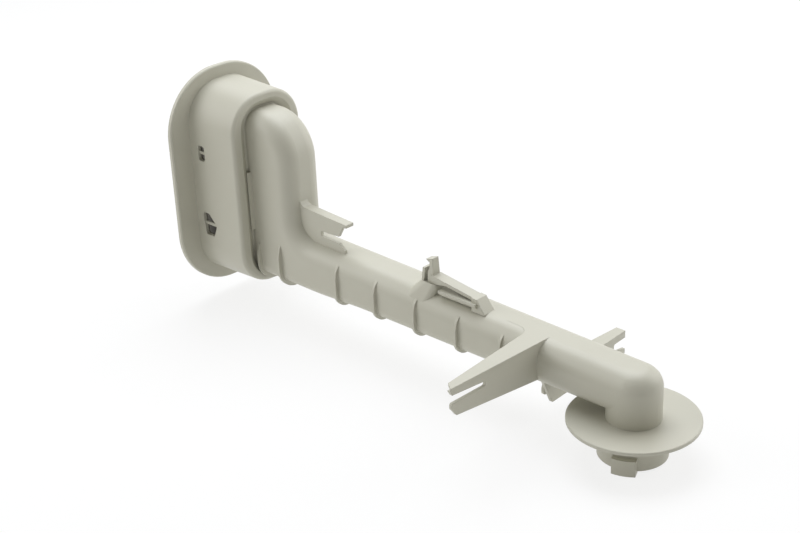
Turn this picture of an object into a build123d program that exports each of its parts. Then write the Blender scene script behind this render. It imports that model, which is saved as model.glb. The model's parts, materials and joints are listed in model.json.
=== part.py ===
import os
from math import atan2, cos, radians, sin, sqrt, tan

from build123d import *

# Wash-arm feed duct, one hollow plastic moulding. Sizes are in millimetres.
# X runs along the duct from the docking mouth to the hub, Y across it, Z up.
# The origin is on the hub's axis, at the underside of the splash disc.

# Walls of the moulding, and its thinner plates and webs
wall = 2.5
web = 1.6

# Hub: splash disc, collar below it and the two catches on the collar
disc_radius = 30.0
disc_thickness = 1.5
disc_edge = 0.4
collar_radius = 16.0
collar_height = 16.5
collar_wall = 2.5
catch_width = 10.8
catch_height = 7.8
catch_proud = 3.0
catch_seat = 1.0
catch_drop = 1.2
catch_angle = -67.0

# Tube: its roof climbs and its floor falls a little towards the boot
duct_width = 25.0
duct_corner = 9.0
floor_corner = 6.0
roof_height = 26.4
roof_draft = 1.2
floor_height = 6.3
floor_draft = 0.4
floor_ramp_length = 30.0
floor_ramp_gap = 16.2
floor_ramp_flat = 2.0
floor_ramp_radius = 120.0

# Docking end: flat flange with a deep cup in front of it
duct_length = 270.0
docking_height = 49.8
flange_width = 72.3
flange_height = 120.0
flange_corner = 33.0
flange_thickness = 2.5
flange_edge = 0.6
flange_side = 12.0
flange_head = 6.5
cup_depth = 36.5
cup_draft = 2.0
shoulder_radius = 2.0

# Docking mouth: a groove runs round an inner sleeve, behind the windows
groove_width = 5.0
sleeve_wall = 2.0

# Boot: the tall bend between the cup and the tube, with a moat round its foot
boot_length = 27.3
boot_head = 9.3
boot_foot = 7.4
boot_bend = 24.0
boot_inner_bend = 12.0
moat_width = 5.0
moat_head = 4.0
moat_foot = 2.0
moat_depth = 2.5
moat_slope = 55.0

# Slim bars in the moat, close beside the boot
corner_bar_width = 2.6
corner_bar_proud = 1.8
corner_bar_drop = 20.0
corner_bar_height = 32.0

# Windows in both side walls of the cup, each with a recessed bar across it
window_inset = 10.5
window_corner = 1.5
upper_window_width = 4.8
upper_window_height = 8.4
upper_window_rise = 19.4
lower_window_width = 9.0
lower_window_height = 12.6
lower_window_drop = 20.5
lower_window_foot = 6.2
lower_window_top = 3.4
lower_window_left = 2.2
lower_window_slope = 6.4
window_bar = 1.5
bar_cut = 1.4

# Stiffening ribs round the sides and the floor
rib_proud = 1.7
rib_thickness = 1.5
rib_corner = 8.0
rib_tip_drop = 2.9
rib_tip_half_width = 9.9
rib_brow_drop = 2.8
rib_brow_inset = 1.1
rib_taper = 7.5
rib_taper_bend = 6.0
rib_pitch = 27.0
rib_count = 5
first_rib = 65.0
boot_rib_setbacks = (9.1, 24.9)
boot_rib_rises = (22.6, 20.2)
boot_rib_proud = 2.0
boot_rib_drop = 2.0
boot_rib_corner = 11.5
rib_seat = 0.4

# Forked side arms: the near one is level with the roof, the far one passes under the floor
arm_front = -44.0
arm_front_slant = 2.5
arm_width = 11.9
arm_back_slant = 4.2
arm_root_radius = 6.0
arm_root_line = 4.5
near_reach = 63.6
near_skew = 3.1
near_nose_length = 3.8
near_nose_drop = 1.0
near_notch = 0.9
near_prong_length = 2.8
near_prong_drop = 10.3
near_end_drop = 14.1
near_root_drop = 19.3
near_slot_length = 18.1
near_slot_drop = 6.1
near_slot_rise = 0.6
far_reach = 57.0
far_roof = 4.9
far_floor = -7.3
far_web_start = -9.0
far_web_foot = -2.0
far_slot_length = 9.5
far_slot_height = -1.0
far_slot_fall = 0.8
far_slot_gap = 4.2
far_mouth_gap = 6.0
slot_root_gap = 2.4
slot_mouth_gap = 4.3
slot_end_radius = 1.1
back_web_x = -50.4
back_web_head = 5.0
back_web_foot = 0.0
back_web_brow = -3.5
back_web_floor = -7.0
back_web_inset = 12.0
lug_radius = 1.2

# Fork clip in the corner between the boot and the roof
clip_y = -5.0
clip_length = 32.2
clip_rise = 16.0
clip_top_rise = 1.8
clip_top_bend = 4.0
clip_tip = 1.2
clip_flange = 5.2
clip_upper_prong = 27.8
clip_lower_prong = 31.6
clip_slot_root = 14.7
clip_slot_rise = 6.5
clip_slot_gap = 2.8
clip_mouth_gap = 4.2

# Spring latch on the roof: hook post with a leaf behind it, tongue, block, pad and saddle
latch_y = -4.1
latch_width = 5.8
latch_top_width = 4.0
post_x = -112.2
post_thickness = 3.8
post_neck = 2.0
post_rise = 17.5
post_shoulder_rise = 12.1
post_lean = 0.7
nose_length = 2.3
nose_height = 2.4
leaf_gap = 1.2
leaf_thickness = 1.5
leaf_rise = 11.9
leaf_lean = 1.8
tongue_length = 26.2
tongue_end_rise = 5.6
tongue_rise = 9.0
tongue_thickness = 1.7
heel_height = 4.0
heel_length = 8.0
block_length = 6.5
block_margin = 0.6
pad_start = 4.7
pad_length = 23.5
pad_edge = -9.0
pad_rise = 3.6
pad_thickness = 1.4
saddle_rise = 5.3
saddle_margin = 1.2
saddle_seat = 0.7
saddle_depth = 6.1
saddle_front = 3.7
saddle_undercut = 5.0
saddle_ramp = 11.0
saddle_round = 5.0
saddle_front_round = 3.0

# Slack for picking edges
slack = 0.1

# Places worked out from the sizes above
half_width = duct_width / 2
bore_radius = half_width - wall
core_corner = (2 - sqrt(2)) * (duct_corner - wall)
collar_bore = collar_radius - collar_wall
cup_width = flange_width - 2 * flange_side
cup_height = flange_height - 2 * flange_head
cup_corner = flange_corner - flange_side
shoulder_x = cup_depth - duct_length
cavity_depth = cup_depth - moat_depth - wall
core_start = cavity_depth - wall - duct_length
boot_front = shoulder_x + boot_length
boot_height = docking_height + cup_height / 2 - boot_head
boot_floor = docking_height - cup_height / 2 + boot_foot
ramp_end = boot_front + floor_ramp_gap
ramp_start = ramp_end + floor_ramp_length
sleeve_inset = wall + groove_width
sleeve_width = cup_width - 2 * sleeve_inset
sleeve_height = cup_height - 2 * sleeve_inset
sleeve_corner = cup_corner - sleeve_inset
groove_depth = cavity_depth - 2 * wall
window_x = window_inset - duct_length
upper_window_z = docking_height + upper_window_rise
lower_window_z = docking_height - lower_window_drop
roof_fall = -tan(radians(roof_draft))
roof_plane = Plane((0, 0, roof_height), x_dir=(1, 0, roof_fall), z_dir=(-roof_fall, 0, 1))


def roof_at(x):
    """Height of the tube's roof at x."""
    return roof_height - x * tan(radians(roof_draft))


def floor_at(x):
    """Height of the floor at x, along the tube, down the ramp and under the boot."""
    ramp_top = floor_height + ramp_start * tan(radians(floor_draft))
    if x >= ramp_start:
        return floor_height + x * tan(radians(floor_draft))
    share = (ramp_start - x) / floor_ramp_length
    return ramp_top + min(share, 1.0) * (boot_floor - ramp_top)


def outline(plane, corners, bends):
    """Face on a plane with the given corners, each rounded by its own radius."""
    with BuildSketch(plane) as face:
        with BuildLine():
            FilletPolyline(*corners, radius=bends, close=True)
        make_face()
    return face.sketch


def side_outline(inset):
    """Side view of boot and tube, moved inwards by inset, from the cup to past the hub."""
    front = boot_front - inset
    end = half_width + wall
    corners = [
        (core_start, boot_height - inset),
        (front, boot_height - inset),
        (front, roof_at(front) - inset),
        (end, roof_at(end) - inset),
        (end, floor_at(end) + inset),
        (ramp_start, floor_at(ramp_start) + inset),
        (ramp_end, boot_floor + inset),
        (core_start, boot_floor + inset),
    ]
    rise = abs(floor_at(ramp_start) - boot_floor)
    longest = (floor_ramp_length - floor_ramp_flat) / (2 * tan(atan2(rise, floor_ramp_length) / 2))
    ramp = min(floor_ramp_radius, longest)
    bends = [0, boot_bend - inset, boot_inner_bend + inset, 0, 0, ramp, ramp, 0]
    return outline(Plane.XZ, corners, bends)


def plan_outline(inset):
    """Plan of boot and tube, with the round end over the hub."""
    with BuildSketch() as plan:
        with Locations((core_start / 2, 0)):
            Rectangle(-core_start, duct_width - 2 * inset)
        Circle(half_width - inset)
    return plan.sketch


def roof_edges(part, inset):
    """The long edges between the side walls and the roof, round the hub's end too."""
    side = half_width - inset - slack
    high = part.edges().filter_by(lambda e: e.center().Z > roof_height - duct_corner / 2)
    high = high.filter_by(lambda e: e.center().X > core_start + slack)
    return high.filter_by(lambda e: abs(e.center().Y) > side or e.center().X > slack)


def floor_edges(part, inset):
    """The long edges between the side walls and the floor."""
    side = half_width - inset - slack
    low = part.edges().filter_by(lambda e: e.center().Z < floor_height + floor_corner + inset)
    return low.filter_by(lambda e: abs(e.center().Y) > side)


def face_at(part, axis, place):
    """The largest flat face square to an axis at one place on it."""
    square = part.faces().filter_by(axis).filter_by_position(axis, place - 0.01, place + 0.01)
    return square.sort_by(SortBy.AREA)[-1]


def rib_outline(x, tip_y, tip_z, proud, low, corner):
    """Section of a rib that wraps the sides and the floor below its two tips."""
    out = half_width + proud
    brow = (out - rib_brow_inset, tip_z - rib_brow_drop)
    right = [(tip_y, tip_z), brow, (out, tip_z - rib_taper), (out, low)]
    left = [(-y, z) for y, z in reversed(right)]
    bend = rib_taper_bend
    return outline(Plane.YZ.offset(x), right + left, [0, bend, bend, corner, corner, bend, bend, 0])


def arm_plan(plane, side, reach, skew):
    """Top plate of a side arm, narrowing outwards, with a rounded root on its back edge."""
    tip = reach + skew
    back = arm_front - arm_width
    back_rise = tan(radians(arm_back_slant))
    corners = [
        (arm_front, 0),
        (arm_front - tip * tan(radians(arm_front_slant)), side * tip),
        (back + reach * back_rise, side * reach),
        (back + arm_root_line * back_rise, side * arm_root_line),
        (back - 2 * arm_root_radius, side * arm_root_line),
        (back - 2 * arm_root_radius, 0),
    ]
    return outline(plane, corners, [0, 0, 0, arm_root_radius, 0, 0])


def arm_face(side):
    """Plane of an arm's front web: its x runs outwards along the arm, its y up."""
    across = sin(radians(arm_front_slant))
    along = cos(radians(arm_front_slant))
    return Plane((arm_front, 0, 0), x_dir=(-across, side * along, 0), z_dir=(side * along, across, 0))


def slot_outline(plane, root, root_gap, mouth, mouth_gap):
    """Wire slot with a round closed end that widens to its mouth; root and mouth are mid points."""
    corners = [
        (root[0], root[1] - root_gap / 2),
        (root[0], root[1] + root_gap / 2),
        (mouth[0], mouth[1] + mouth_gap / 2),
        (mouth[0], mouth[1] - mouth_gap / 2),
    ]
    return outline(plane, corners, [slot_end_radius, slot_end_radius, 0, 0])


def window_outline(plane, bars):
    """Both windows of one side on a plane, with or without the bars left across them."""
    left = window_x - lower_window_left
    low = lower_window_z - lower_window_height / 2
    slanted = [
        (left, low),
        (left + lower_window_foot, low),
        (left + lower_window_width, low + lower_window_slope),
        (left + lower_window_top, low + lower_window_height),
        (left - window_bar, low + lower_window_height),
    ]
    with BuildSketch(plane) as windows:
        with BuildLine():
            FilletPolyline(*slanted, radius=window_corner, close=True)
        make_face()
        with Locations((window_x, upper_window_z)):
            RectangleRounded(upper_window_width, upper_window_height, window_corner)
        if bars:
            with Locations((window_x, upper_window_z), (window_x, lower_window_z)):
                Rectangle(2 * lower_window_width, window_bar, mode=Mode.SUBTRACT)
    return windows.sketch


# The water way: everything inside the walls, cut from the moulding near the end
with BuildPart() as water_way:
    extrude(plan_outline(wall), amount=boot_height, both=True)
    extrude(side_outline(wall), amount=duct_width, both=True, mode=Mode.INTERSECT)
    chamfer(roof_edges(water_way, wall), core_corner)
    fillet(floor_edges(water_way, wall), floor_corner - wall)
    with BuildSketch(Plane.YZ.offset(-duct_length)):
        with Locations((0, docking_height)):
            RectangleRounded(cup_width - 2 * wall, cup_height - 2 * wall, cup_corner - wall)
    extrude(amount=groove_depth, taper=cup_draft)
    with BuildSketch(Plane.YZ.offset(-duct_length)):
        with Locations((0, docking_height)):
            RectangleRounded(sleeve_width, sleeve_height, sleeve_corner)
    extrude(amount=groove_depth, taper=cup_draft, mode=Mode.SUBTRACT)
    with BuildSketch(Plane.YZ.offset(-duct_length)):
        with Locations((0, docking_height)):
            RectangleRounded(
                sleeve_width - 2 * sleeve_wall, sleeve_height - 2 * sleeve_wall, sleeve_corner - sleeve_wall
            )
    extrude(amount=cavity_depth, taper=cup_draft)
    with BuildSketch():
        Circle(bore_radius)
    extrude(amount=roof_height / 2)
    with BuildSketch(Plane.XY.offset(-collar_height)):
        Circle(collar_bore)
    extrude(amount=collar_height)

# The near arm: a top plate level with the roof and a forked web under its front edge
with BuildPart() as near_arm:
    near_face = arm_face(-1)
    near_top = roof_at(arm_front) - web / 2
    near_nose = near_reach + near_nose_length
    near_prong = near_reach + near_prong_length
    near_slot_height = roof_at(arm_front) - near_slot_drop
    blade = [
        (arm_root_line, near_top),
        (near_reach, near_top),
        (near_nose, roof_at(arm_front) - near_nose_drop),
        (near_reach + near_notch, near_slot_height),
        (near_prong, near_slot_height - slot_mouth_gap / 2),
        (near_prong, roof_at(arm_front) - near_prong_drop),
        (near_reach, roof_at(arm_front) - near_end_drop),
        (arm_root_line, roof_at(arm_front) - near_root_drop),
    ]
    extrude(outline(near_face, blade, [0, 0, 0, 0, 0, 0, 0, 0]), amount=web)
    slot_root = (near_reach - near_slot_length, near_slot_height)
    slot_mouth = (near_nose, near_slot_height + near_slot_rise)
    near_slot = slot_outline(near_face, slot_root, slot_root_gap, slot_mouth, slot_mouth_gap)
    extrude(near_slot, amount=web, mode=Mode.SUBTRACT)
    extrude(arm_plan(roof_plane, -1, near_reach, near_skew), amount=-web)

# The far arm: the same plate lower down, on two webs that reach back under the floor
with BuildPart() as far_arm:
    far_face = arm_face(1)
    seat = floor_at(arm_front) + wall / 2
    blade = [
        (far_web_start, seat),
        (half_width, seat),
        (half_width, far_roof - web / 2),
        (far_reach, far_roof - web / 2),
        (far_reach, far_floor),
        (far_web_foot, far_floor),
    ]
    extrude(outline(far_face, blade, [0, 0, 0, 0, 0, lug_radius]), amount=-web)
    slot_root = (far_reach - far_slot_length, far_slot_height)
    slot_mouth = (far_reach, far_slot_height - far_slot_fall)
    far_slot = slot_outline(far_face, slot_root, far_slot_gap, slot_mouth, far_mouth_gap)
    extrude(far_slot, amount=-web, mode=Mode.SUBTRACT)
    extrude(arm_plan(Plane.XY.offset(far_roof), 1, far_reach, 0), amount=-web)
    back_web_reach = far_reach - back_web_inset
    back_web = [
        (back_web_head, seat),
        (half_width, seat),
        (back_web_reach, far_roof - web),
        (back_web_reach, back_web_floor),
        (back_web_foot, back_web_floor),
        (back_web_foot, back_web_brow),
    ]
    extrude(outline(Plane.YZ.offset(back_web_x), back_web, [0, 0, 0, 0, lug_radius, 0]), amount=-web)

# The fork clip: an upright plate with a wire slot, its top edge bent over towards the middle
with BuildPart() as fork_clip:
    boot_inside = boot_front - wall / 2
    boot_face = boot_front - wall / 8
    clip_end = boot_front + clip_length
    clip_upper_end = boot_front + clip_upper_prong
    clip_lower_end = boot_front + clip_lower_prong
    clip_foot = roof_at(clip_end) - wall / 2
    clip_height = roof_at(clip_end) + clip_rise
    clip_root = clip_height + clip_top_rise
    clip_crown = clip_root + 2 * clip_top_bend
    clip_slot_height = roof_at(clip_end) + clip_slot_rise
    slot_top = clip_slot_height + clip_mouth_gap / 2
    slot_floor = clip_slot_height - clip_mouth_gap / 2
    plate = [
        (boot_inside, clip_foot),
        (boot_inside, clip_crown),
        (boot_face, clip_crown),
        (boot_face, clip_root),
        (clip_end, clip_height),
        (clip_upper_end, slot_top),
        (clip_upper_end, slot_floor),
        (clip_lower_end, roof_at(clip_end) + web),
        (clip_lower_end, clip_foot),
    ]
    bends = [0, 0, 0, clip_top_bend, 0, 0, 0, 0, 0]
    extrude(outline(Plane.XZ.offset(-clip_y), plate, bends), amount=-web)
    slot_root = (boot_front + clip_slot_root, clip_slot_height)
    slot_mouth = (clip_lower_end, clip_slot_height)
    clip_slot = slot_outline(Plane.XZ.offset(-clip_y), slot_root, clip_slot_gap, slot_mouth, clip_mouth_gap)
    extrude(clip_slot, amount=-web, mode=Mode.SUBTRACT)
    strip = [
        (boot_inside, clip_crown),
        (boot_face, clip_crown),
        (boot_face, clip_root),
        (clip_end + clip_tip, clip_height),
        (clip_end + clip_tip, clip_height - web),
        (boot_inside, clip_root - web),
    ]
    extrude(outline(Plane.XZ.offset(-clip_y), strip, [0, 0, clip_top_bend, 0, 0, 0]), amount=-clip_flange)

# The spring latch: most of it is drawn from the side and given its own width
with BuildPart() as latch:
    latch_plane = Plane.XZ.offset(-latch_y)
    latch_roof = roof_at(post_x)
    latch_foot = latch_roof - wall / 2
    post_height = latch_roof + post_rise
    post_shoulder = latch_roof + post_shoulder_rise
    neck_back = post_x - post_lean - post_neck
    post = [
        (post_x, latch_foot),
        (post_x - post_lean, post_height),
        (neck_back - nose_length, post_height - nose_height / 2),
        (neck_back, post_height - nose_height),
        (neck_back, post_shoulder),
        (post_x - post_thickness, post_shoulder - web),
        (post_x - post_thickness, latch_foot),
    ]
    extrude(outline(latch_plane, post, [0] * 7), amount=latch_width / 2, both=True)
    front = [
        (latch_y - latch_width / 2, latch_foot),
        (latch_y + latch_width / 2, latch_foot),
        (latch_y + latch_top_width / 2, post_height),
        (latch_y - latch_top_width / 2, post_height),
    ]
    post_front = outline(Plane.YZ.offset(post_x), front, [0] * 4)
    extrude(post_front, amount=-2 * post_thickness, mode=Mode.INTERSECT)
    leaf_face = post_x - post_thickness - leaf_gap
    leaf_height = latch_roof + leaf_rise
    leaf = [
        (leaf_face - leaf_lean, latch_foot),
        (leaf_face, leaf_height),
        (leaf_face - leaf_thickness, leaf_height),
        (leaf_face - leaf_thickness - leaf_lean, latch_foot),
    ]
    extrude(outline(latch_plane, leaf, [0] * 4), amount=latch_width / 2, both=True)
    tongue_root = post_x - post_thickness / 2
    tongue_end = post_x + tongue_length
    tongue_height = latch_roof + tongue_rise
    tongue_end_height = latch_roof + tongue_end_rise
    slope = (tongue_height - tongue_end_height) / tongue_length
    tongue = [
        (tongue_root, tongue_height),
        (post_x, tongue_height),
        (tongue_end, tongue_end_height),
        (tongue_end, tongue_end_height - tongue_thickness),
        (post_x + heel_length, tongue_height - heel_length * slope - tongue_thickness),
        (post_x + web, tongue_height - heel_height),
        (tongue_root, tongue_height - heel_height),
    ]
    extrude(outline(latch_plane, tongue, [0] * 7), amount=latch_width / 2, both=True)
    block_end = tongue_end + block_length
    block = [
        (tongue_end - web, tongue_end_height + web * slope),
        (tongue_end + web, tongue_end_height),
        (block_end, roof_at(block_end)),
        (block_end, latch_foot),
        (tongue_end - web, latch_foot),
    ]
    extrude(outline(latch_plane, block, [0] * 5), amount=latch_width / 2 + block_margin, both=True)
    pad_height = latch_roof + pad_rise
    pad = [
        (pad_edge, pad_height),
        (pad_edge, pad_height - pad_thickness),
        (duct_corner - half_width - web, latch_foot),
        (latch_y + latch_width / 2, latch_foot),
        (latch_y + latch_width / 2, pad_height),
    ]
    extrude(outline(Plane.YZ.offset(post_x + pad_start), pad, [0] * 5), amount=pad_length)

# The saddle under the post and the leaf, running out softly into the tube's near corner
with BuildPart() as saddle:
    saddle_start = leaf_face - leaf_thickness - leaf_lean
    saddle_top = latch_roof + saddle_rise
    saddle_edge = latch_y - latch_width / 2 - saddle_margin
    saddle_floor = latch_roof - saddle_depth
    section = [
        (saddle_edge, saddle_top),
        (saddle_seat - half_width, saddle_floor),
        (0, saddle_floor),
        (0, latch_roof + saddle_rise / 2),
    ]
    extrude(outline(Plane.YZ.offset(saddle_start - saddle_ramp), section, [0] * 4), amount=2 * saddle_ramp)
    side = [
        (saddle_start - saddle_ramp, saddle_floor),
        (saddle_start, saddle_top),
        (post_x + saddle_front, saddle_top),
        (post_x + saddle_front - saddle_undercut, saddle_floor),
    ]
    extrude(outline(Plane.XZ, side, [0] * 4), amount=duct_width, both=True, mode=Mode.INTERSECT)
    near_edges = saddle.edges().filter_by(lambda e: e.center().Y < saddle_edge - slack)
    near_edges = near_edges.filter_by(lambda e: e.center().Z > saddle_floor + slack)
    fillet(near_edges.filter_by(lambda e: e.center().X < saddle_start), saddle_round)
    near_edges = saddle.edges().filter_by(lambda e: e.center().Y < saddle_edge - slack)
    near_edges = near_edges.filter_by(lambda e: e.center().Z > saddle_floor + slack)
    fillet(near_edges.filter_by(lambda e: e.center().X > post_x - slack), saddle_front_round)

# Boot and tube, still solid
with BuildPart() as tube:
    extrude(plan_outline(0), amount=boot_height, both=True)
    extrude(side_outline(0), amount=duct_width, both=True, mode=Mode.INTERSECT)
    fillet(roof_edges(tube, 0), duct_corner)
    fillet(floor_edges(tube, 0), floor_corner)

with BuildPart() as feed_duct:
    # Docking cup, the moat in its front and the flange
    with BuildSketch(Plane.YZ.offset(-duct_length)):
        with Locations((0, docking_height)):
            RectangleRounded(cup_width, cup_height, cup_corner)
    extrude(amount=cup_depth, taper=cup_draft)
    shoulder = face_at(feed_duct, Axis.X, shoulder_x)
    fillet(shoulder.outer_wire().edges(), shoulder_radius)
    moat_top = boot_height + moat_head
    moat_floor = boot_floor - moat_foot
    with BuildSketch(Plane((shoulder_x, 0, 0), x_dir=(0, -1, 0), z_dir=(-1, 0, 0))):
        with Locations((0, (moat_top + moat_floor) / 2)):
            RectangleRounded(duct_width + 2 * moat_width, moat_top - moat_floor, duct_corner + moat_width)
    extrude(amount=moat_depth, taper=moat_slope, mode=Mode.SUBTRACT)
    with BuildSketch(Plane.YZ.offset(-duct_length)):
        with Locations((0, docking_height)):
            RectangleRounded(flange_width, flange_height, flange_corner)
    extrude(amount=flange_thickness)
    rim = face_at(feed_duct, Axis.X, flange_thickness - duct_length)
    chamfer(rim.outer_wire().edges(), flange_edge)

    # Boot and tube, with the slim bars beside the boot
    add(tube.part)
    for side in (-1, 1):
        inner = side * (half_width - web)
        outer = side * (half_width + corner_bar_width)
        foot = shoulder_x - moat_depth - web
        top = shoulder_x - moat_depth + corner_bar_proud
        bar = [(foot, inner), (foot, outer), (top, outer), (top, inner)]
        bar_plane = Plane.XY.offset(docking_height - corner_bar_drop)
        extrude(outline(bar_plane, bar, [0] * 4), amount=corner_bar_height)

    # Hub: drop, splash disc, collar and catches
    with BuildSketch():
        Circle(half_width)
    extrude(amount=roof_height / 2)
    with BuildSketch():
        Circle(disc_radius)
    extrude(amount=disc_thickness)
    disc = face_at(feed_duct, Axis.Z, disc_thickness)
    chamfer(disc.outer_wire().edges(), disc_edge)
    with BuildSketch(Plane.XY.offset(-collar_height)):
        Circle(collar_radius)
    extrude(amount=collar_height)
    with BuildSketch(Plane.XY.offset(-collar_height - catch_drop)):
        Circle(collar_radius + catch_proud)
        Circle(collar_radius - catch_seat, mode=Mode.SUBTRACT)
        Rectangle(2 * disc_radius, catch_width, rotation=catch_angle, mode=Mode.INTERSECT)
    extrude(amount=catch_height)

    # Stiffening ribs of the tube, then of the boot
    for count in range(rib_count):
        x = -first_rib - count * rib_pitch
        tip = roof_at(x) - rib_tip_drop
        rib = rib_outline(x, rib_tip_half_width, tip, rib_proud, floor_at(x) - rib_proud, rib_corner)
        extrude(rib, amount=-rib_thickness)
    for setback, rise in zip(boot_rib_setbacks, boot_rib_rises):
        tip = boot_floor + rise
        low = boot_floor - boot_rib_proud - boot_rib_drop
        rib = rib_outline(
            boot_front - setback, half_width - rib_seat, tip, boot_rib_proud, low, boot_rib_corner
        )
        extrude(rib, amount=-rib_thickness)

    # Arms, clip and latch
    add(near_arm.part)
    add(far_arm.part)
    add(fork_clip.part)
    add(saddle.part)
    add(latch.part)

    # Hollow it
    add(water_way.part, mode=Mode.SUBTRACT)

    # Windows through both side walls of the cup: shallow all over, then deep beside the bars
    for side in (-1, 1):
        skirt = Plane.XZ.offset(-side * cup_width / 2)
        extrude(window_outline(skirt, False), amount=side * bar_cut, mode=Mode.SUBTRACT)
        depth = wall + groove_width / 2
        extrude(window_outline(skirt, True), amount=side * depth, mode=Mode.SUBTRACT)

os.makedirs("parts", exist_ok=True)
feed_duct.part.label = "feed_duct"
export_step(feed_duct.part, "parts/feed_duct.step")
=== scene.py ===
import json
from math import cos, radians, sin

import bmesh
import bpy
from mathutils import Matrix, Vector


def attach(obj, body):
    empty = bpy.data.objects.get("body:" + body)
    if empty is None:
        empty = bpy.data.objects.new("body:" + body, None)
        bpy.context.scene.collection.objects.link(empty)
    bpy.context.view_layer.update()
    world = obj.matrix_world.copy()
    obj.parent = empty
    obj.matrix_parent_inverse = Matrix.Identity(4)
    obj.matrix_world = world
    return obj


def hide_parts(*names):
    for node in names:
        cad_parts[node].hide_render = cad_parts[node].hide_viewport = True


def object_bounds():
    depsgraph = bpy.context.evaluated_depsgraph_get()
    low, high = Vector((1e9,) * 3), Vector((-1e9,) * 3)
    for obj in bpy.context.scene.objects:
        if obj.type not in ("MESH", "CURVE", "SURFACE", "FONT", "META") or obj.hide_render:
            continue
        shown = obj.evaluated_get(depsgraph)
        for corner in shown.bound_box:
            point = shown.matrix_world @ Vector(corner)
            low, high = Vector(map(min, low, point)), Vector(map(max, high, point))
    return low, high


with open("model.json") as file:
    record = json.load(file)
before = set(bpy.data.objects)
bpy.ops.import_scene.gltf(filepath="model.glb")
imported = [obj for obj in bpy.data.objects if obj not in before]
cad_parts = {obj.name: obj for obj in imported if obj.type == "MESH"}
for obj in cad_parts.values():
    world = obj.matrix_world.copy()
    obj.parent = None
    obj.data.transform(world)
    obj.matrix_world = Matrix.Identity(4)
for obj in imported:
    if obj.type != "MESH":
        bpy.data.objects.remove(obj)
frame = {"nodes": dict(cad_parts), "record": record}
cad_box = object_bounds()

bl_info = {
    "name": "Wash arm feed duct",
    "version": (1, 0, 0),
    "blender": (4, 5, 0),
    "location": "3D View > Sidebar > Feed duct",
    "description": "Finishes the moulded feed duct of a dishwasher wash arm and sets its studio",
    "category": "Object",
}

DUCT = "feed_duct"

WHITE = (1.0, 1.0, 1.0)

# Mesh corners this close together are merged, in metres
MERGE_DISTANCE = 1e-7
# Decimal places of a metre that tell one corner from another
CORNER_PLACES = 6

# Noise of the plastic's patterns, and sampling of its painted crevice shade and softened edges
CLOUD_DETAIL = 3.0
CLOUD_ROUGHNESS = 0.55
SINK_DETAIL = 1.0
GRAIN_DETAIL = 2.0
PAINTED_SHADE_SAMPLES = 8
EDGE_SAMPLES = 6
# Share of open space round a point from which it has no painted crevice shade
OPEN_SHARE = 0.5

DOCKING_FACE = next(m["pos_m"] for m in frame["record"]["mounts"] if m["name"] == "docking_face")
# Half length of the docking groove's stretch of painted shade, which starts at the docking face, in
# metres
GROOVE_REACH = 0.0155
# Length over which the groove's painted shade fades in
GROOVE_FADE = 0.0012
# Half lengths of the block that the groove runs round, far longer along the duct than the groove
GROOVE_CORE = (1.0, 0.00315, 0.0325)
# Least and greatest distance of the groove's walls from that block
GROOVE_WALLS = (0.0120, 0.01865)

# Soft boxes: place from the duct's middle, and length of the sides, in metres
OVERHEAD_BOX = ((-0.3, 0.35, 1.0), 1.0)
LEFT_BOX = ((-0.8, -0.7, 0.5), 0.8)
RIM_BOX = ((0.5, 0.9, 0.5), 0.8)

# Width of the camera's sensor, in millimetres
SENSOR_WIDTH = 36.0


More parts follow.
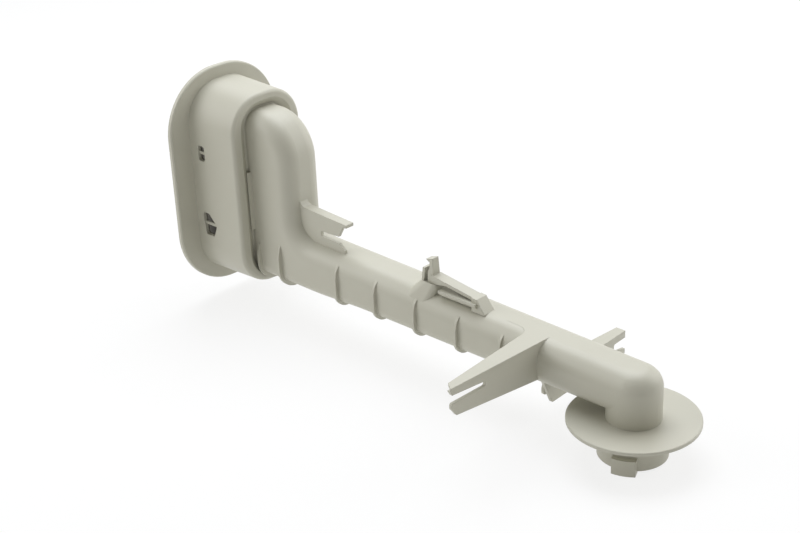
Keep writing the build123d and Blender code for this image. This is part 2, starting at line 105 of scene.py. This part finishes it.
class MouldedPlasticSettings(bpy.types.PropertyGroup):
    """Finish of the grey moulding."""

    body_colour: bpy.props.FloatVectorProperty(
        name="Body colour",
        description="Warm light grey of the plastic",
        subtype="COLOR",
        size=3,
        min=0.0,
        max=1.0,
        default=(0.520, 0.508, 0.430),
    )
    cloud_colour: bpy.props.FloatVectorProperty(
        name="Cloud colour",
        description="Slightly darker tone that drifts through the plastic",
        subtype="COLOR",
        size=3,
        min=0.0,
        max=1.0,
        default=(0.485, 0.473, 0.392),
    )
    # Painted shade: corners and slots are coloured darker where walls stand close
    painted_crevice_shade: bpy.props.FloatVectorProperty(
        name="Crevice colour",
        description="Darker tone deep in corners and slots",
        subtype="COLOR",
        size=3,
        min=0.0,
        max=1.0,
        default=(0.250, 0.240, 0.200),
    )
    # Painted shade: the docking groove is coloured dark, seen through the windows
    painted_groove_shade: bpy.props.FloatVectorProperty(
        name="Groove colour",
        description="Dark tone of the docking groove, seen through the windows",
        subtype="COLOR",
        size=3,
        min=0.0,
        max=1.0,
        default=(0.060, 0.052, 0.030),
    )
    # Painted shade: how near a facing wall must be for the crevice shade to be painted
    painted_shade_reach: bpy.props.FloatProperty(
        name="Crevice reach",
        description="How far off a facing wall still darkens a corner",
        subtype="DISTANCE",
        unit="LENGTH",
        default=0.0045,
    )
    least_roughness: bpy.props.FloatProperty(
        name="Least roughness",
        description="Roughness where the plastic shines most",
        subtype="FACTOR",
        default=0.40,
    )
    most_roughness: bpy.props.FloatProperty(
        name="Most roughness",
        description="Roughness where the plastic shines least",
        subtype="FACTOR",
        default=0.50,
    )
    refractive_index: bpy.props.FloatProperty(
        name="Refractive index",
        description="How strongly the plastic bends and mirrors light",
        default=1.49,
    )
    cloud_size: bpy.props.FloatProperty(
        name="Cloud size",
        description="Size of the soft colour clouds",
        subtype="DISTANCE",
        unit="LENGTH",
        default=0.045,
    )
    grain_size: bpy.props.FloatProperty(
        name="Grain size",
        description="Size of the fine grain left by the mould's surface",
        subtype="DISTANCE",
        unit="LENGTH",
        default=0.0007,
    )
    grain_depth: bpy.props.FloatProperty(
        name="Grain depth",
        description="Depth of the fine grain",
        subtype="DISTANCE",
        unit="LENGTH",
        default=0.000012,
    )
    grain_strength: bpy.props.FloatProperty(
        name="Grain strength",
        description="Share of the grain's depth that shows",
        subtype="FACTOR",
        default=0.6,
    )
    sink_size: bpy.props.FloatProperty(
        name="Sink size",
        description="Size of the faint waves where the plastic shrank",
        subtype="DISTANCE",
        unit="LENGTH",
        default=0.022,
    )
    sink_depth: bpy.props.FloatProperty(
        name="Sink depth",
        description="Depth of the faint waves",
        subtype="DISTANCE",
        unit="LENGTH",
        default=0.00010,
    )
    sink_strength: bpy.props.FloatProperty(
        name="Sink strength",
        description="Share of the waves' depth that shows",
        subtype="FACTOR",
        default=0.5,
    )
    edge_radius: bpy.props.FloatProperty(
        name="Edge radius",
        description="Softness of the moulding's sharp edges",
        subtype="DISTANCE",
        unit="LENGTH",
        default=0.00045,
    )


class StudioSettings(bpy.types.PropertyGroup):
    """Floor, lamps and camera of the studio."""

    floor_colour: bpy.props.FloatVectorProperty(
        name="Floor colour",
        description="Colour of the plain floor",
        subtype="COLOR",
        size=3,
        min=0.0,
        max=1.0,
        default=(0.88, 0.88, 0.87),
    )
    floor_white: bpy.props.FloatProperty(
        name="Floor white",
        description="Share of pure white in the floor as the camera sees it",
        subtype="FACTOR",
        default=0.8,
    )
    floor_glow: bpy.props.FloatProperty(
        name="Floor glow",
        description="Share of white that the lit floor gives back to the object",
        subtype="FACTOR",
        default=0.34,
    )
    floor_size: bpy.props.FloatProperty(
        name="Floor size",
        description="Length of the floor's sides",
        subtype="DISTANCE",
        unit="LENGTH",
        default=24.0,
    )
    room_tint: bpy.props.FloatVectorProperty(
        name="Room tint",
        description="Slightly warm colour of the even light",
        subtype="COLOR",
        size=3,
        min=0.0,
        max=1.0,
        default=(1.0, 0.985, 0.92),
    )
    room_light: bpy.props.FloatProperty(
        name="Room light",
        description="Strength of the even light from all round",
        default=0.28,
    )
    overhead_tint: bpy.props.FloatVectorProperty(
        name="Overhead tint",
        description="Slightly cool colour of the soft box above the object",
        subtype="COLOR",
        size=3,
        min=0.0,
        max=1.0,
        default=(0.92, 0.945, 1.0),
    )
    overhead_power: bpy.props.FloatProperty(
        name="Overhead power",
        description="Power of the soft box above the object",
        subtype="POWER",
        unit="POWER",
        default=12.6,
    )
    side_power: bpy.props.FloatProperty(
        name="Side power",
        description="Power of the soft box at the left",
        subtype="POWER",
        unit="POWER",
        default=5.0,
    )
    rim_power: bpy.props.FloatProperty(
        name="Rim power",
        description="Power of the soft box behind the object, at the right",
        subtype="POWER",
        unit="POWER",
        default=5.0,
    )
    camera_place: bpy.props.FloatVectorProperty(
        name="Camera place",
        description="Where the camera stands",
        subtype="XYZ",
        unit="LENGTH",
        size=3,
        default=(0.32817, -0.46799, 0.34843),
    )
    camera_azimuth: bpy.props.FloatProperty(
        name="Camera azimuth",
        description="Turn of the camera round the object",
        subtype="ANGLE",
        unit="ROTATION",
        default=radians(45.069),
    )
    camera_elevation: bpy.props.FloatProperty(
        name="Camera elevation",
        description="Angle at which the camera looks down",
        subtype="ANGLE",
        unit="ROTATION",
        default=radians(25.560),
    )
    camera_roll: bpy.props.FloatProperty(
        name="Camera roll",
        description="Tilt of the camera about its own axis",
        subtype="ANGLE",
        unit="ROTATION",
        default=radians(-2.472),
    )
    camera_lens: bpy.props.FloatProperty(
        name="Camera lens",
        description="Focal length in millimetres on a 36 mm wide sensor",
        default=67.486,
    )


class DuctSettings(bpy.types.PropertyGroup):
    """All the settings of this scene."""

    plastic: bpy.props.PointerProperty(type=MouldedPlasticSettings)
    studio: bpy.props.PointerProperty(type=StudioSettings)


def opaque(colour):
    """A colour with full alpha."""
    return (*colour, 1.0)


def blank_tree(owner):
    """The emptied node tree of a material or a world."""
    owner.use_nodes = True
    owner.node_tree.nodes.clear()
    return owner.node_tree


def feed(tree, slot, value):
    """Link an input to a socket, or set a constant on it."""
    if isinstance(value, bpy.types.NodeSocket):
        tree.links.new(value, slot)
    else:
        slot.default_value = value


def add_node(tree, kind, place, **inputs):
    """Add a shader node and feed its inputs, named with an underscore for each space."""
    node = tree.nodes.new(kind)
    node.location = place
    for name, value in inputs.items():
        feed(tree, node.inputs[name.replace("_", " ")], value)
    return node


def add_step(tree, kind, operation, place, terms):
    """Add a node for one step of arithmetic on sockets and constants."""
    step = add_node(tree, kind, place)
    step.operation = operation
    for slot, term in zip(step.inputs, terms):
        feed(tree, slot, term)
    return step


def math_step(tree, operation, place, *terms):
    """Result of one step of arithmetic on numbers."""
    return add_step(tree, "ShaderNodeMath", operation, place, terms).outputs["Value"]


def vector_step(tree, operation, place, *terms):
    """Result of one step of arithmetic on vectors."""
    result = "Value" if operation == "LENGTH" else "Vector"
    return add_step(tree, "ShaderNodeVectorMath", operation, place, terms).outputs[result]


def colour_mix(tree, place, factor, first, second):
    """Blend of two colours, the first at a factor of 0 and the second at 1."""
    mix = add_node(tree, "ShaderNodeMix", place)
    mix.data_type = "RGBA"
    for name, value in (("Factor", factor), ("A", first), ("B", second)):
        feed(tree, mix.inputs[name], value)
    return mix.outputs["Result"]


def outside_painted_groove_shade(tree, spot, place):
    """Factor that falls to 0 in the docking groove, seen through the windows, where the groove's
    painted shade goes, and is 1 elsewhere.
    """
    left, top = place
    middle = (DOCKING_FACE[0] + GROOVE_REACH, 0.0, DOCKING_FACE[2])
    offset = vector_step(tree, "SUBTRACT", (left, top), spot, middle)
    one_side = vector_step(tree, "ABSOLUTE", (left + 200, top), offset)
    past_core = vector_step(tree, "SUBTRACT", (left + 400, top), one_side, GROOVE_CORE)
    outwards = vector_step(tree, "MAXIMUM", (left + 600, top), past_core, (0.0, 0.0, 0.0))
    distance = vector_step(tree, "LENGTH", (left + 800, top), outwards)

    least, greatest = GROOVE_WALLS
    centre = (least + greatest) / 2
    reach = (greatest - least) / 2
    inside = math_step(tree, "COMPARE", (left + 1000, top), distance, centre, reach)
    elsewhere = math_step(tree, "SUBTRACT", (left + 1200, top), 1.0, inside)

    along = add_node(tree, "ShaderNodeSeparateXYZ", (left + 400, top + 250), Vector=one_side)
    ends = add_node(
        tree,
        "ShaderNodeMapRange",
        (left + 600, top + 250),
        Value=along.outputs["X"],
        From_Min=GROOVE_REACH - GROOVE_FADE,
        From_Max=GROOVE_REACH,
    )
    ends.interpolation_type = "SMOOTHSTEP"
    return math_step(tree, "MAXIMUM", (left + 1400, top), elsewhere, ends.outputs["Result"])


def moulded_plastic(settings):
    """Satin grey plastic with faint clouds, mould grain, softened edges, and painted shade in its
    crevices and in the docking groove.
    """
    material = bpy.data.materials.new("moulded_plastic")
    tree = blank_tree(material)
    spot = add_node(tree, "ShaderNodeTexCoord", (-1200, 0)).outputs["Object"]

    clouds = add_node(
        tree,
        "ShaderNodeTexNoise",
        (-900, 300),
        Vector=spot,
        Scale=1.0 / settings.cloud_size,
        Detail=CLOUD_DETAIL,
        Roughness=CLOUD_ROUGHNESS,
    ).outputs["Fac"]
    body = opaque(settings.body_colour)
    clouded = colour_mix(tree, (-600, 300), clouds, body, opaque(settings.cloud_colour))

    # Painted shade: the colour turns to the crevice shade where ambient occlusion finds walls close by
    shade_occlusion = add_node(tree, "ShaderNodeAmbientOcclusion", (-600, 600), Distance=settings.painted_shade_reach)
    shade_occlusion.samples = PAINTED_SHADE_SAMPLES
    shade_occlusion.only_local = True
    openness = add_node(
        tree, "ShaderNodeMapRange", (-400, 600), Value=shade_occlusion.outputs["AO"], From_Max=OPEN_SHARE
    ).outputs["Result"]
    shaded = colour_mix(tree, (-200, 300), openness, opaque(settings.painted_crevice_shade), clouded)
    # Painted shade: the docking groove is coloured dark
    outside = outside_painted_groove_shade(tree, spot, (-1900, 1000))
    colour = colour_mix(tree, (-50, 500), outside, opaque(settings.painted_groove_shade), shaded)

    gloss = add_node(
        tree,
        "ShaderNodeMapRange",
        (-600, 60),
        Value=clouds,
        To_Min=settings.least_roughness,
        To_Max=settings.most_roughness,
    )

    sinks = add_node(
        tree,
        "ShaderNodeTexNoise",
        (-900, -150),
        Vector=spot,
        Scale=1.0 / settings.sink_size,
        Detail=SINK_DETAIL,
    )
    grain = add_node(
        tree,
        "ShaderNodeTexNoise",
        (-900, -400),
        Vector=spot,
        Scale=1.0 / settings.grain_size,
        Detail=GRAIN_DETAIL,
    )
    edges = add_node(tree, "ShaderNodeBevel", (-600, -650), Radius=settings.edge_radius)
    edges.samples = EDGE_SAMPLES
    waves = add_node(
        tree,
        "ShaderNodeBump",
        (-400, -250),
        Strength=settings.sink_strength,
        Distance=settings.sink_depth,
        Height=sinks.outputs["Fac"],
        Normal=edges.outputs["Normal"],
    )
    skin = add_node(
        tree,
        "ShaderNodeBump",
        (-200, -400),
        Strength=settings.grain_strength,
        Distance=settings.grain_depth,
        Height=grain.outputs["Fac"],
        Normal=waves.outputs["Normal"],
    )

    plastic = add_node(
        tree,
        "ShaderNodeBsdfPrincipled",
        (100, 100),
        Base_Color=colour,
        Roughness=gloss.outputs["Result"],
        IOR=settings.refractive_index,
        Normal=skin.outputs["Normal"],
    )
    add_node(tree, "ShaderNodeOutputMaterial", (400, 100), Surface=plastic.outputs["BSDF"])
    return material


def seen_directly(tree, place):
    """Factor that is 1 for camera, mirror and clear rays, so that they meet the plain background."""
    left, top = place
    path = add_node(tree, "ShaderNodeLightPath", place).outputs
    either = math_step(tree, "MAXIMUM", (left + 200, top), path["Is Camera Ray"], path["Is Glossy Ray"])
    return math_step(tree, "MAXIMUM", (left + 400, top), either, path["Is Transmission Ray"])


def mix_shaders(tree, place, factor, first, second):
    """Blend of two shaders, the first at a factor of 0 and the second at 1."""
    blend = add_node(tree, "ShaderNodeMixShader", place)
    for slot, source in zip(blend.inputs, (factor, first, second)):
        feed(tree, slot, source)
    return blend.outputs["Shader"]


def pale_floor(settings):
    """Pale floor that looks white where it is lit and keeps a soft shadow."""
    material = bpy.data.materials.new("pale_floor")
    tree = blank_tree(material)
    paint = add_node(tree, "ShaderNodeBsdfDiffuse", (0, 100), Color=opaque(settings.floor_colour))
    white = add_node(tree, "ShaderNodeEmission", (0, -100), Color=opaque(WHITE), Strength=1.0)
    seen = seen_directly(tree, (-700, 300))
    share = math_step(tree, "MULTIPLY", (0, 300), seen, settings.floor_white)
    glow = math_step(tree, "MAXIMUM", (150, 300), share, settings.floor_glow)
    blend = mix_shaders(tree, (250, 100), glow, paint.outputs["BSDF"], white.outputs["Emission"])
    add_node(tree, "ShaderNodeOutputMaterial", (500, 100), Surface=blend)
    return material


def white_room(settings):
    """World that is white to the eye and gives an even, gentle light."""
    world = bpy.data.worlds.new("white_room")
    bpy.context.scene.world = world
    tree = blank_tree(world)
    tint = opaque(settings.room_tint)
    lamp = add_node(tree, "ShaderNodeBackground", (0, 100), Color=tint, Strength=settings.room_light)
    wall = add_node(tree, "ShaderNodeBackground", (0, -100), Color=opaque(WHITE), Strength=1.0)
    seen = seen_directly(tree, (-700, 300))
    blend = mix_shaders(tree, (250, 0), seen, lamp.outputs["Background"], wall.outputs["Background"])
    add_node(tree, "ShaderNodeOutputWorld", (500, 0), Surface=blend)


def soft_box(name, box, target, power, tint=WHITE):
    """Square area lamp that stands off a target and is aimed at it."""
    offset, side = box
    lamp = bpy.data.lights.new(name, "AREA")
    lamp.shape = "SQUARE"
    lamp.size = side
    lamp.energy = power
    lamp.color = tint
    light = bpy.data.objects.new(name, lamp)
    light.location = target + Vector(offset)
    light.rotation_euler = (-Vector(offset)).to_track_quat("-Z", "Y").to_euler()
    bpy.context.scene.collection.objects.link(light)


def floor_sheet(settings, centre):
    """Flat square floor round a centre."""
    mesh = bpy.data.meshes.new("floor")
    bm = bmesh.new()
    bmesh.ops.create_grid(bm, x_segments=2, y_segments=2, size=settings.floor_size / 2)
    bmesh.ops.translate(bm, verts=bm.verts[:], vec=centre)
    bm.to_mesh(mesh)
    bm.free()
    mesh.materials.append(pale_floor(settings))
    floor = bpy.data.objects.new("floor", mesh)
    bpy.context.scene.collection.objects.link(floor)
    return floor


def photo_camera(settings):
    """Camera at the photograph's place and angle."""
    azimuth = settings.camera_azimuth
    elevation = settings.camera_elevation
    roll = settings.camera_roll
    back = Vector((sin(azimuth) * cos(elevation), -cos(azimuth) * cos(elevation), sin(elevation)))
    right = Vector((cos(azimuth), sin(azimuth), 0.0))
    up = back.cross(right)
    across = right * cos(roll) + up * sin(roll)
    upright = up * cos(roll) - right * sin(roll)
    turn = Matrix((across, upright, back)).transposed().to_4x4()

    lens = bpy.data.cameras.new("photo_camera")
    lens.sensor_width = SENSOR_WIDTH
    lens.lens = settings.camera_lens
    camera = bpy.data.objects.new("photo_camera", lens)
    camera.matrix_world = Matrix.Translation(settings.camera_place) @ turn
    bpy.context.scene.collection.objects.link(camera)
    bpy.context.scene.camera = camera


def corner_spots(mesh, face):
    """Places of a face's corners, rounded so that equal ones match."""
    return [mesh.vertices[index].co.to_tuple(CORNER_PLACES) for index in face.vertices]


def corner_normals(solid, merged):
    """The solid's own normal for each face corner of its merged copy."""
    known = {}
    for face in solid.polygons:
        spots = corner_spots(solid, face)
        normals = [solid.corner_normals[corner].vector.copy() for corner in face.loop_indices]
        known[frozenset(spots)] = dict(zip(spots, normals))
    found = []
    for face in merged.polygons:
        spots = corner_spots(merged, face)
        normals = known[frozenset(spots)]
        found += [normals[spot] for spot in spots]
    return found


class FEED_DUCT_OT_moulding(bpy.types.Operator):
    """Merge the duct's mesh, keep its own normals and give it its plastic"""

    bl_idname = "feed_duct.moulding"
    bl_label = "Finish the moulding"

    def execute(self, context):
        settings = context.scene.duct.plastic
        solid = frame["nodes"][DUCT]
        mesh = bpy.data.meshes.new("duct_moulding")
        bm = bmesh.new()
        bm.from_mesh(solid.data)
        bmesh.ops.remove_doubles(bm, verts=bm.verts[:], dist=MERGE_DISTANCE)
        for face in bm.faces:
            face.smooth = True
            face.material_index = 0
        bm.to_mesh(mesh)
        bm.free()
        mesh.normals_split_custom_set(corner_normals(solid.data, mesh))
        moulding = bpy.data.objects.new("duct_moulding", mesh)
        context.scene.collection.objects.link(moulding)
        mesh.materials.append(moulded_plastic(settings))
        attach(moulding, "root")
        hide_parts(DUCT)
        return {"FINISHED"}


class FEED_DUCT_OT_studio(bpy.types.Operator):
    """Set the floor, the lamps, the room and the camera"""

    bl_idname = "feed_duct.studio"
    bl_label = "Set the studio"

    def execute(self, context):
        settings = context.scene.duct.studio
        low, high = (Vector(corner) for corner in cad_box)
        middle = (low + high) / 2
        floor = floor_sheet(settings, (middle.x, middle.y, low.z))
        white_room(settings)
        soft_box("overhead_box", OVERHEAD_BOX, middle, settings.overhead_power, settings.overhead_tint)
        soft_box("left_box", LEFT_BOX, middle, settings.side_power)
        soft_box("rim_box", RIM_BOX, middle, settings.rim_power)
        photo_camera(settings)
        context.scene.view_settings.view_transform = "Standard"
        return {"FINISHED"}


class FEED_DUCT_PT_panel(bpy.types.Panel):
    """Lists the steps and settings of the feed duct"""

    bl_idname = "FEED_DUCT_PT_panel"
    bl_label = "Feed duct"
    bl_space_type = "VIEW_3D"
    bl_region_type = "UI"
    bl_category = "Feed duct"

    def draw(self, context):
        layout = self.layout
        settings = context.scene.duct
        layout.operator("feed_duct.moulding")
        for name in MouldedPlasticSettings.__annotations__:
            layout.prop(settings.plastic, name)
        layout.operator("feed_duct.studio")
        for name in StudioSettings.__annotations__:
            layout.prop(settings.studio, name)


CLASSES = (
    MouldedPlasticSettings,
    StudioSettings,
    DuctSettings,
    FEED_DUCT_OT_moulding,
    FEED_DUCT_OT_studio,
    FEED_DUCT_PT_panel,
)


def register():
    """Register the classes and hang the settings on the scene."""
    for cls in CLASSES:
        bpy.utils.register_class(cls)
    bpy.types.Scene.duct = bpy.props.PointerProperty(type=DuctSettings)


def unregister():
    """Take the settings and the classes away again."""
    del bpy.types.Scene.duct
    for cls in reversed(CLASSES):
        bpy.utils.unregister_class(cls)


def main():
    """Register the classes and make the pieces in order."""
    register()
    bpy.ops.feed_duct.moulding()
    bpy.ops.feed_duct.studio()


if __name__ == "__main__":
    main()
